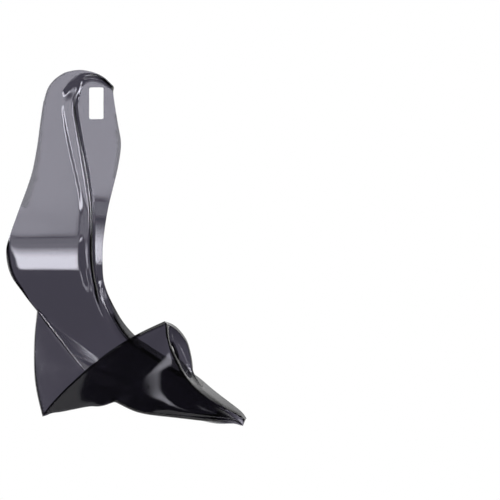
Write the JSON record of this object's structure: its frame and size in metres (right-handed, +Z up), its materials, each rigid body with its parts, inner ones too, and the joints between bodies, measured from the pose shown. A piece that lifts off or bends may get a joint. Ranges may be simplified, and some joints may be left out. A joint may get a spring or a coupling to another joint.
{
  "type": "motorcycle hand guard",
  "caption": "One-piece smoke-tinted plastic hand guard: flat wing with strap slot and bead, bent back at its foot and folded into a horn-shaped cup with a stem hole.",
  "frame": {"origin": "middle of the strap slot, half way through the strap pad", "axes": "+X across the wing towards the handlebar grip's inner end, +Y away from the rider's side, +Z up the wing"},
  "size_m": [0.2043, 0.0728, 0.3037],
  "materials": {
    "smoke_plastic": "gloss, smoke-tinted clear"
  },
  "bodies": {
    "root": {"hand_guard": "smoke_plastic"}
  },
  "joints": []
}
